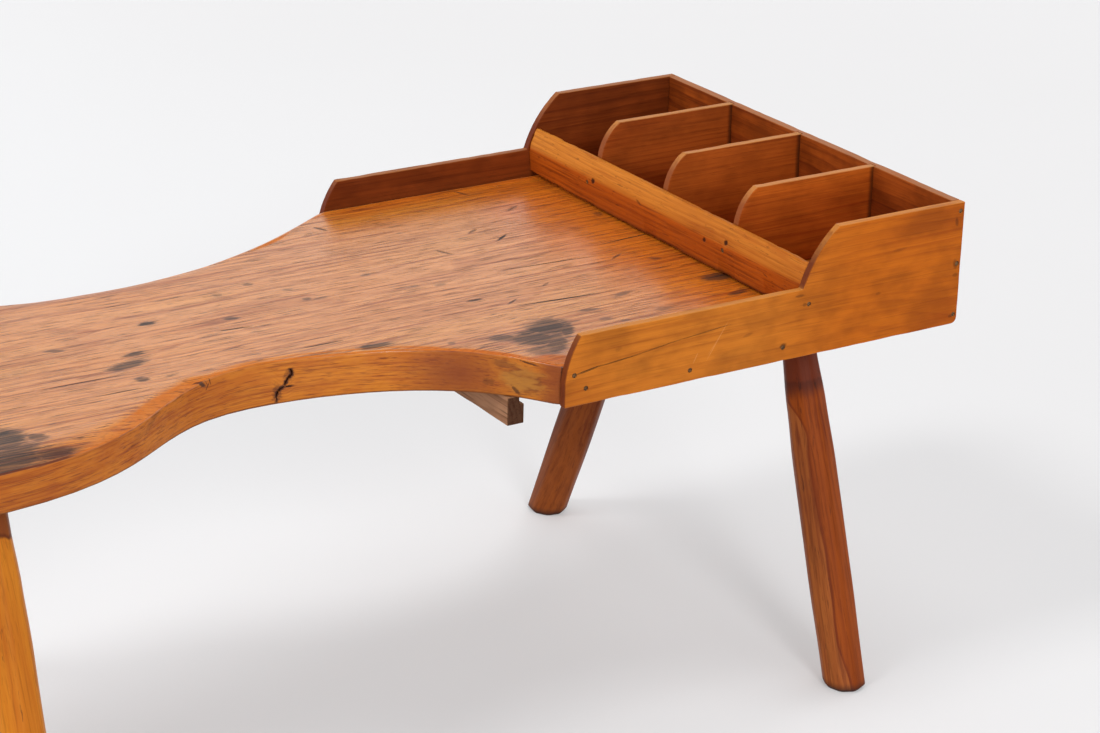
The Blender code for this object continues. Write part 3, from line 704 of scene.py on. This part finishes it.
def bar_finish():
    """The bar: orange brown below with painted shade at its foot, rubbed pale and given a painted sheen on
    its rounded upper face, nicked along the top.
    """
    material, shader, place = new_finish("bar, worn orange brown", 0.4, 0.05)
    run = grain_line(place, "Y", (-0.42, 0.45), 8.0)
    colour, height, _ = sawn_wood(
        run, rgb(0.47, 0.095, 0.008), rgb(0.26, 0.042, 0.005), rgb(0.1, 0.016, 0.003), sway=0.04,
        contrast=0.45, streaks=0.3, dashes=0.45, pores=0.5, patches=0.5)
    pale, _, _ = sawn_wood(
        run, rgb(0.66, 0.225, 0.026), rgb(0.4, 0.1, 0.01), rgb(0.18, 0.042, 0.008), sway=0.04,
        contrast=0.35, streaks=0.24, dashes=0.25, pores=0.45, patches=0.55)
    # The rounded upper face is paler: partly rubbed wood, partly a painted sheen where it turns up to the
    # light.
    rub = facing(place, 2, 0.12, 0.26)
    rub = times(rub, fade(cloud(run, (14, 90, 90), 3.0, 0.6), 0.28, 0.55, 0.55, 1.0))
    colour = mix(rub, colour, pale)
    drawing = upright_place(place, 1)
    ragged = ramp(cloud(place, (500, 500, 500), 3.0, 0.7), 0.9, -0.45)
    mark = marks(drawing, BAR_MARKS, ragged)
    fleck = fade(cloud(run, (90, 320, 320), 3.0, 0.6, shift=(2, 2, 7)), 0.645, 0.7, 0.0, 0.4)
    # The foot of the bar next to the plank is darker: painted shade.
    low = fade(axis_of(place, 2), PLANK_TOP + 0.0071, PLANK_TOP + 0.0021, 0.0, 0.55)
    dark = most(most(mark, fleck), low)
    colour = mix(dark, colour, rgb(0.045, 0.012, 0.005))
    height = ramp(mark, -1.5, height)
    rough = ramp(cloud(run, (8, 50, 50), 3.0), 0.22, 0.26)
    close_finish(shader, colour, height, 0.00022, rough)
    return material


# The plank

def edge_lean(x, z):
    """How far the plank's near edge leans in at a place and height."""
    return table_value(NEAR_EDGE_LEAN, x) * min(1.0, max(0.0, (z - UNDERSIDE) / (PLANK_TOP - UNDERSIDE)))


def edge_place(x, side):
    """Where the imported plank's near (-1) or far (1) edge stands across the bench."""
    start = Vector((x, side, MID_HEIGHT))
    hit, point, _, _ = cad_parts["plank"].ray_cast(start, Vector((0, -side, 0)))
    return point.y if hit else 0.0


# Rows of the plank's grid by each edge: the first lie close in metres, the rest share out the worn strip.
FINE_STEPS = (0.0, 0.0004, 0.0012, 0.0024)
WIDE_STEPS = (0.3, 0.62, 1.0)
RIM_ROWS = len(FINE_STEPS) + len(WIDE_STEPS)
GRID_ROWS, GRID_COLUMNS = 54, 250
CROWDED_SHARE = 0.25


def wear_rows(table, x, width):
    """How far in the rows by one edge lie, how far in its wear reaches, and how deep the wear is."""
    inward = max(0.004, min(table_value(table, x), width * 0.3))
    rows = [min(step, width * 0.1) for step in FINE_STEPS]
    rows += [FINE_STEPS[-1] + (inward - FINE_STEPS[-1]) * step for step in WIDE_STEPS]
    return rows, inward, table_value(table, x, 2)


def plank_span(x, end_x):
    """A place along the bench, the plank's near and far edge there, and how each is worn."""
    near, far = (edge_place(min(x, end_x - 0.0002), side) for side in (-1, 1))
    near += edge_lean(x, PLANK_TOP)
    return x, near, far, [wear_rows(table, x, far - near) for table in (NEAR_EDGE_WEAR, FAR_EDGE_WEAR)]


def row_place(row, last_row, near, far, wears):
    """Where a row of the grid lies across the bench, and how far it is from its edge, or 1 inside."""
    (near_rows, near_reach, _), (far_rows, far_reach, _) = wears
    if row < RIM_ROWS:
        return near + near_rows[row], near_rows[row]
    if row > last_row - RIM_ROWS:
        return far - far_rows[last_row - row], far_rows[last_row - row]
    share = (row - RIM_ROWS + 1) / (last_row - 2 * RIM_ROWS + 2)
    start, stop = near + near_reach, far - far_reach
    return start + (stop - start) * share, 1.0


def top_drop(x, y, inset, near, far, wears):
    """How far wear, the rounded corner and the seat's hollow take the top down."""
    drop = 0.0
    for (_, inward, depth), away in ((wears[0], y - near), (wears[1], far - y)):
        if away < inward:
            wave = 1 + 0.25 * noise.noise(Vector((x * 22, depth * 400, 3)))
            drop += depth * wave * (1 - away / inward) ** 1.25
    if inset < ARRIS:
        drop += ARRIS - sqrt(ARRIS ** 2 - (ARRIS - inset) ** 2)
    dish = ((x - SEAT_CENTRE) ** 2 + y * y) ** 0.5 / SEAT_RADIUS
    if dish < 1:
        drop += SEAT_DEPTH * (0.5 + 0.5 * cos(pi * dish))
    if 0.004 < y - near and y < far - 0.004:
        drop += 0.0003 + 0.0003 * noise.noise(Vector((x * 16, y * 26, 1.5)))
    return drop


def make_plank():
    """The shaped plank: a grid drawn out to the frame's outline, then given its thickness."""
    low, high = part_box("plank")
    bpy.ops.object.select_all(action="DESELECT")
    bpy.ops.mesh.primitive_grid_add(x_subdivisions=GRID_COLUMNS, y_subdivisions=GRID_ROWS, size=1)
    piece = bpy.context.object
    piece.name = "shaped_plank"
    vertices = piece.data.vertices
    last_column, last_row = (len({round(vertex.co[axis], 6) for vertex in vertices}) - 1 for axis in (0, 1))
    spans = []
    for column in range(last_column + 1):
        share = column / last_column
        # Columns crowd together at the round seat end.
        crowded = CROWDED_SHARE * (1 - cos(share / CROWDED_SHARE * pi / 2))
        ease = share if share > CROWDED_SHARE else crowded
        spans.append(plank_span(low.x + 0.0004 + (high.x - low.x - 0.0004) * ease, high.x))
    for vertex in vertices:
        x, near, far, wears = spans[round((vertex.co.x + 0.5) * last_column)]
        y, inset = row_place(round((vertex.co.y + 0.5) * last_row), last_row, near, far, wears)
        vertex.co = (x, y, PLANK_TOP - top_drop(x, y, inset, near, far, wears))
    top_count = len(vertices)
    edit(piece)
    # The last step down goes past the underside, where it is cut off level.
    for depth in (0.006, 0.008, 0.008, 0.03):
        choose(piece, lambda edge: edge.is_boundary, "EDGE")
        bpy.ops.mesh.extrude_edges_move(TRANSFORM_OT_translate={"value": (0, 0, -depth)})
    done()
    for vertex in piece.data.vertices[top_count:]:
        if vertex.co.y < 0:
            vertex.co.y += edge_lean(vertex.co.x, vertex.co.z) - edge_lean(vertex.co.x, PLANK_TOP)
    edit(piece)
    bisect((0, 0, UNDERSIDE), (0, 0, 1), clear_inner=True)
    choose(piece, lambda edge: edge.is_boundary, "EDGE")
    bpy.ops.mesh.edge_face_add()
    choose(piece, lambda edge: all(vert.co.z < UNDERSIDE + 0.0001 for vert in edge.verts), "EDGE")
    bpy.ops.mesh.bevel(offset=0.001, segments=2)
    face_out()
    return piece


def wedge(piece, name, table, widths, depth):
    """Cuts a split into the plank's near edge along a drawn row of x and z."""
    points = [Vector((x, edge_place(x, -1) + edge_lean(x, z), z)) for x, z in table]
    cut_out(piece, split(name, points, widths, (0, 1, 0), depth))


def knot_splits(piece):
    """The open knot in the plank's near edge."""
    wedge(piece, "knot_upper", ((-0.03, 0.3612), (-0.029, 0.359), (-0.0291, 0.3568), (-0.0325, 0.3545),
                                (-0.034, 0.3528), (-0.0358, 0.351), (-0.0368, 0.3482)),
          (0.001, 0.0026, 0.002, 0.0028, 0.0014, 0.002, 0.0008), 0.005)
    wedge(piece, "knot_lower", ((-0.0372, 0.3478), (-0.0392, 0.3472), (-0.0418, 0.3462), (-0.0436, 0.344),
                                (-0.045, 0.341), (-0.0446, 0.3366)),
          (0.001, 0.0012, 0.002, 0.0026, 0.0014, 0.0006), 0.005)
    wedge(piece, "knot_twig", ((-0.0356, 0.348), (-0.0332, 0.3476), (-0.0298, 0.3472)),
          (0.0012, 0.0012, 0.0004), 0.003)


plank = make_plank()
knot_splits(plank)
cut_marks(plank, CRACKS, PLANK_TOP - 0.0004, 0.0014, 1.0)
cut_marks(plank, KNOCKS, PLANK_TOP - 0.0004, 0.0003, 0.5)
shade(plank, 40)
fit(plank, plank_finish(), "plank_wood", "plank")

# The boards

near_finish = board_finish(
    "near side, honey satin", rgb(0.545, 0.165, 0.015), rgb(0.32, 0.074, 0.008), rgb(0.62, 0.24, 0.05),
    (-0.262, 0.3), 0.34, low_darkening=0.0, drawn=BOARD_MARKS, pale_drawn=BOARD_SCRATCHES, end_axis=0,
    end_colour=rgb(0.11, 0.018, 0.007), ring=0.01, sway=0.1, contrast=0.32, patches=0.75, pores=0.25,
    streaks=0.14)
far_finish = board_finish(
    "far side, darkened", rgb(0.245, 0.05, 0.009), rgb(0.105, 0.018, 0.004), rgb(0.42, 0.15, 0.045),
    (0.262, 0.392), 0.3, seed=2.0, end_axis=0, end_colour=rgb(0.15, 0.03, 0.012), ring=0.006, sway=0.05,
    contrast=0.45, patches=0.45)
end_finish = board_finish(
    "end board, red brown", rgb(0.39, 0.082, 0.011), rgb(0.16, 0.026, 0.005), rgb(0.42, 0.155, 0.05),
    (-0.62, 0.4), 0.45, along="Y", seed=4.0, low_darkening=0.2, contrast=0.6, patches=0.6)
runner_finish = board_finish(
    "runner, bare coarse wood", rgb(0.4, 0.2, 0.105), rgb(0.2, 0.085, 0.04), rgb(0.4, 0.2, 0.105),
    (0.12, 0.25), 0.1, along="Y", seed=9.0, gloss=0.03, low_darkening=0.0, end_axis=1,
    end_colour=rgb(0.03, 0.008, 0.004), ring=0.004, contrast=0.9, patches=0.3, dashes=0.75, streaks=0.5)


def dress_board(node, name, finish, slot, steps=(0.008, 0.0, 0.008), wear=0.0005, crack=()):
    piece = copy_of(node, name)
    for axis, step in enumerate(steps):
        if step:
            slice_up(piece, axis, step)
    uneven(piece, wear)
    if crack:
        points = [(x, -OUTER_HALF, z) for x, z, _ in crack]
        cut_out(piece, split(f"{name}_crack", points, [width for _, _, width in crack], (0, 1, 0), 0.0018))
    shade(piece)
    fit(piece, finish, slot, node)


dress_board("near_side_board", "near_rail_board", near_finish, "near_side_wood", crack=BOARD_CRACK)
dress_board("far_side_board", "far_rail_board", far_finish, "far_side_wood")
dress_board("end_board", "box_end_board", end_finish, "end_board_wood", (0.0, 0.008, 0.008))
dress_board("front_bar", "rounded_bar", bar_finish(), "front_bar_wood", (0.0, 0.005, 0.0), 0.0014)
dress_board("runner_outer", "drawer_runner_outer", runner_finish, "runner_wood", (0.0, 0.01, 0.0))
dress_board("runner_inner", "drawer_runner_inner", runner_finish, "runner_wood", (0.0, 0.01, 0.0))
for count, tone in ((1, 0.88), (2, 1.02), (3, 1.25)):
    # Each divider gets its own copy of the finish, lighter the nearer it stands: painted light, as more light
    # reaches the nearer ones.
    divider_finish = board_finish(
        f"divider {count}, red brown satin", rgb(0.43 * tone, 0.094 * tone, 0.012),
        rgb(0.21 * tone, 0.033 * tone, 0.005), rgb(0.58, 0.24, 0.065), (0.03, 0.33), 0.3,
        seed=4.0 + 2.0 * count, low_darkening=0.3, end_axis=0, end_colour=rgb(0.27, 0.076, 0.022), corner=True,
        ring=0.0042, contrast=0.34, patches=0.75, streaks=0.16)
    dress_board(f"divider_{count}", f"bay_divider_{count}", divider_finish, "divider_wood")

# The legs

# How thick a leg is: share of the way down, share of its radius.
LEG_TAPER = ((0.00, 0.7), (0.12, 0.8), (0.27, 0.93), (0.42, 1.01), (0.72, 1.02), (1.00, 0.98))
LEG_RADIUS = 0.0205
FOOT_CHAMFER = 0.0035
SPARE_LENGTH = 0.04

# Name, place under the plank, place of the foot, seed.
LEGS = (("leg_tray_near", (0.4762, -0.112), (0.4685, -0.2318), 1),
        ("leg_tray_far", (0.463, 0.112), (0.4374, 0.2318), 2),
        ("leg_seat_near", (-0.3055, -0.112), (-0.3155, -0.2318), 3),
        ("leg_seat_far", (-0.3055, 0.112), (-0.3155, 0.2318), 4))


def make_leg(name, top, foot, seed):
    """A shaved leg: eight soft flats that swell below the middle, cut level at both ends."""
    top, foot = Vector((*top, UNDERSIDE)), Vector((*foot, 0))
    length = (top - foot).length
    bpy.ops.object.select_all(action="DESELECT")
    bpy.ops.mesh.primitive_cylinder_add(vertices=8, radius=LEG_RADIUS, depth=length + 2 * SPARE_LENGTH,
                                        location=(0, 0, -length / 2), end_fill_type="NGON")
    piece = bpy.context.object
    piece.name = f"shaved_{name}"
    settle(piece)
    slice_up(piece, 2, 0.012)
    soften(piece, 0.0034, 3, 30)
    for vertex in piece.data.vertices:
        along = max(0.0, min(1.0, -vertex.co.z / length))
        swell = table_value(LEG_TAPER, along)
        facet = Vector((vertex.co.x, vertex.co.y, 0)).normalized()
        wave = 1 + 0.018 * noise.noise(Vector((facet.x * 1.3 + seed * 3, facet.y * 1.3, vertex.co.z * 14)))
        vertex.co.x *= swell * wave
        vertex.co.y *= swell * wave
    piece.rotation_mode = "QUATERNION"
    piece.rotation_quaternion = (top - foot).to_track_quat("Z", "Y")
    piece.location = top
    settle(piece)
    edit(piece)
    bisect((0, 0, UNDERSIDE - 0.0003), (0, 0, 1), clear_outer=True, use_fill=True)
    bisect((0, 0, FOOT_CHAMFER), (0, 0, -1), clear_outer=True, use_fill=True)
    choose(piece, lambda face: face.normal.z < -0.9 and face.calc_center_median().z < FOOT_CHAMFER + 0.0001)
    bpy.ops.mesh.extrude_region_move(TRANSFORM_OT_translate={"value": (0, 0, 0.0002 - FOOT_CHAMFER)})
    bpy.ops.transform.resize(value=(0.86, 0.86, 1), center_override=(foot.x, foot.y, 0.0002))
    face_out()
    shade(piece, 40)
    return piece


def outer_wood(colour, line, run, down, pale, deep, pore):
    """Lays the paler outer wood over the leg's left side, wider towards the foot, with a dark seam."""
    across = vector_calc("DOT_PRODUCT", line, (0, -0.532, 0.846))
    limit = ramp(cloud(line, (12, 30, 30), 2.0), 0.006, -0.003)
    for start, end, narrow, wide in ((0.07, 0.125, -0.02, 0.002), (0.15, 0.26, 0.0, 0.002),
                                     (0.31, 0.36, 0.0, 0.006)):
        limit = calc("ADD", fade(down, start, end, narrow, wide), limit)
    limit = calc("SUBTRACT", limit, across)
    outer, _, _ = sawn_wood(run, pale, deep, pore, ring=0.0058, sway=0.05, contrast=0.45, streaks=0.45,
                            dashes=0.35, patches=0.5)
    colour = mix(fade(limit, -0.0006, 0.0012), colour, outer)
    seam = times(fade(limit, -0.003, -0.0004), fade(limit, 0.0006, 0.0))
    return mix(times(seam, 0.5), colour, rgb(0.1, 0.016, 0.007))


def leg_finish(name, top, foot, pale, deep, seed, tilt, band, soft, band_colour, outer_tones):
    """Shaved wood that runs down the leg, with a dark band under the plank and a darker foot."""
    material, shader, place = new_finish(name, 0.45, 0.08)
    top, foot = Vector((*top, UNDERSIDE)), Vector((*foot, 0))
    turn = (foot - top).rotation_difference(Vector((1, 0, 0))).to_matrix()
    line = laid(place, turn=turn.to_euler(), shift=-(turn @ top))
    run = laid(line, turn=(0, tilt, -tilt), shift=(seed, 0.011, 0.052))
    colour, height, _ = sawn_wood(run, pale, deep, darker(deep, 0.4), ring=0.0058, sway=0.05,
                                  contrast=0.34, streaks=0.22, dashes=0.3, patches=0.8, tangle=1.6)
    down = axis_of(line, 0)
    if outer_tones:
        colour = outer_wood(colour, line, run, down, *outer_tones)
    wavy = ramp(cloud(line, (20, 110, 110), 2.0), 0.012, -0.006)
    wavy_down = calc("ADD", down, wavy)
    shoulder = fade(wavy_down, band + soft, band - 0.0005)
    lip = times(fade(wavy_down, band - 0.0035, band), shoulder)
    worn = fade(cloud(line, (40, 160, 160), 3.0, 0.6, shift=(4, 4, 4)), 0.6, 0.68, 0.0, 0.75)
    ring_mark = times(fade(down, band - 0.014, band), fade(down, band + 0.012, band))
    colour = mix(times(shoulder, 0.85), colour, band_colour)
    colour = mix(times(lip, 0.6), colour, rgb(0.07, 0.014, 0.006))
    colour = mix(times(worn, ring_mark), colour, rgb(0.035, 0.012, 0.008))
    fleck = fade(cloud(line, (45, 420, 420), 3.0, 0.6, shift=(1, 9, 3)), 0.64, 0.7, 0.0, 0.55)
    colour = mix(fleck, colour, rgb(0.05, 0.014, 0.008))
    # Darker at the foot, in the last centimetre above the floor.
    darker_foot = fade(axis_of(place, 2), 0.01, 0.001, 0.0, 0.9)
    colour = mix(darker_foot, colour, rgb(0.03, 0.012, 0.008))
    rough = ramp(cloud(run, (8, 50, 50), 3.0), 0.22, 0.34)
    close_finish(shader, colour, height, 0.00016, rough)
    return material


RED_BAND, BROWN_BAND = rgb(0.115, 0.02, 0.008), rgb(0.16, 0.034, 0.01)
# Name, pale and deep tone, seed, the grain's tilt, the band's end, softness and colour, outer wood's tones.
LEG_LOOKS = (
    ("leg, red heartwood", rgb(0.32, 0.064, 0.006), rgb(0.165, 0.027, 0.003), 11.0, 0.03, 0.074, 0.016,
     RED_BAND, (rgb(0.36, 0.102, 0.021), rgb(0.2, 0.044, 0.011), rgb(0.08, 0.018, 0.006))),
    ("leg, brown", rgb(0.25, 0.062, 0.011), rgb(0.115, 0.022, 0.005), 12.0, 0.11, 0.002, 0.004,
     BROWN_BAND, None),
    ("leg, golden", rgb(0.6, 0.205, 0.015), rgb(0.46, 0.122, 0.009), 13.0, 0.03, 0.0535, 0.003,
     BROWN_BAND, None),
    ("leg, golden brown", rgb(0.5, 0.15, 0.015), rgb(0.3, 0.07, 0.009), 14.0, 0.05, 0.0535, 0.003,
     BROWN_BAND, None))
for (name, top, foot, seed), look in zip(LEGS, LEG_LOOKS):
    label, *tones = look
    fit(make_leg(name, top, foot, seed), leg_finish(label, top, foot, *tones), "leg_wood", name)

# The nails

def nail_finish():
    material, shader, place = new_finish("nail iron, rust darkened", 0.6, 0.1)
    rust = cloud(place, (900, 900, 900), 3.0, 0.6)
    colour = mix(fade(rust, 0.35, 0.65), rgb(0.19, 0.1, 0.042), rgb(0.04, 0.015, 0.007))
    shader.inputs["Metallic"].default_value = 0.15
    close_finish(shader, colour, rust, 0.0002, fade(rust, 0.3, 0.7, 0.35, 0.7))
    return material


iron = nail_finish()
for node_name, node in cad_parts.items():
    if node_name.startswith("nail_"):
        for material_slot in node.material_slots:
            material_slot.material = iron

# Floor, light and camera

def pale_floor():
    """A wide sheet of pale paper, with painted shade that makes it a little darker towards the box end."""
    material, shader, place = new_finish("pale floor", 0.9, 0.1)
    tree = material.node_tree
    tone = cloud(place, (1.2, 1.2, 1.2), 2.0)
    # Painted shade: darker towards the box end, over a slow random tone.
    tone = ramp(tone, 0.2, fade(axis_of(place, 0), -0.4, 1.5, 0.0, 0.8))
    colour = mix(tone, rgb(0.905, 0.912, 0.925), rgb(0.8, 0.792, 0.795))
    close_finish(shader, colour, tone, 0.0001)
    # The camera sees a slightly paler paper than the one that throws light back at the bench.
    glow = add(tree, "Emission", {"Color": rgb(0.925, 0.915, 0.918), "Strength": 1.0}).outputs[0]
    seen = times(add(tree, "LightPath").outputs["Is Camera Ray"], FLOOR_LIFT)
    both = add(tree, "MixShader", {0: seen, 1: shader.outputs[0], 2: glow}).outputs[0]
    tree.links.new(both, tree.nodes["Material Output"].inputs["Surface"])
    bpy.ops.object.select_all(action="DESELECT")
    bpy.ops.mesh.primitive_plane_add(size=FLOOR_SIZE, location=(0, 0, 0))
    floor = bpy.context.object
    floor.name = "floor"
    floor.data.materials.append(material)


def soft_light(name, azimuth, elevation, strength, spread):
    """A broad far lamp: azimuth is where it stands, in degrees from +X."""
    lamp = bpy.data.lights.new(name, "SUN")
    lamp.energy = strength
    lamp.angle = radians(spread)
    holder = new_object(name, lamp)
    turn, rise = radians(azimuth), radians(elevation)
    toward = Vector((cos(turn) * cos(rise), sin(turn) * cos(rise), sin(rise)))
    holder.rotation_mode = "QUATERNION"
    holder.rotation_quaternion = toward.to_track_quat("Z", "Y")


def pale_room():
    """White walls that light the bench from low all round, and a white room for camera and gloss."""
    world = bpy.data.worlds.new("pale room")
    bpy.context.scene.world = world
    world.use_nodes = True
    tree = world.node_tree
    background = tree.nodes["Background"]
    path = add(tree, "LightPath")
    glossy = most(path.outputs["Is Glossy Ray"], path.outputs["Is Transmission Ray"])
    rise = axis_of(add(tree, "TexCoord").outputs["Generated"], 2)
    walls = fade(rise, 0.42, 0.72)
    light = mix(walls, rgb(1.22, 1.23, 1.24), rgb(0.12, 0.12, 0.125))
    # The camera sees white all over, and gloss shows white walls under a dimmer ceiling.
    ceiling = fade(rise, 0.5, 0.7)
    mirrored = mix(ceiling, rgb(0.98, 0.97, 0.965), rgb(0.22, 0.22, 0.22))
    colour = mix(glossy, light, mirrored)
    colour = mix(path.outputs["Is Camera Ray"], colour, rgb(0.95, 0.94, 0.938))
    tree.links.new(colour, background.inputs["Color"])


pale_floor()
pale_room()
soft_light("front_lamp", -104, 28, 0.95, 15)
soft_light("left_lamp", 176, 48, 0.75, 15)
soft_light("back_lamp", 28, 50, 0.28, 20)
soft_light("top_lamp", 60, 84, 0.62, 40)

camera = bpy.data.cameras.new("camera")
camera.sensor_width = CAMERA_SENSOR
camera.lens = CAMERA_LENS
holder = new_object("camera", camera)
holder.location = CAMERA_PLACE
holder.rotation_euler = [radians(turn) for turn in CAMERA_TURN]
bpy.context.scene.camera = holder
bpy.context.scene.view_settings.view_transform = "Standard"
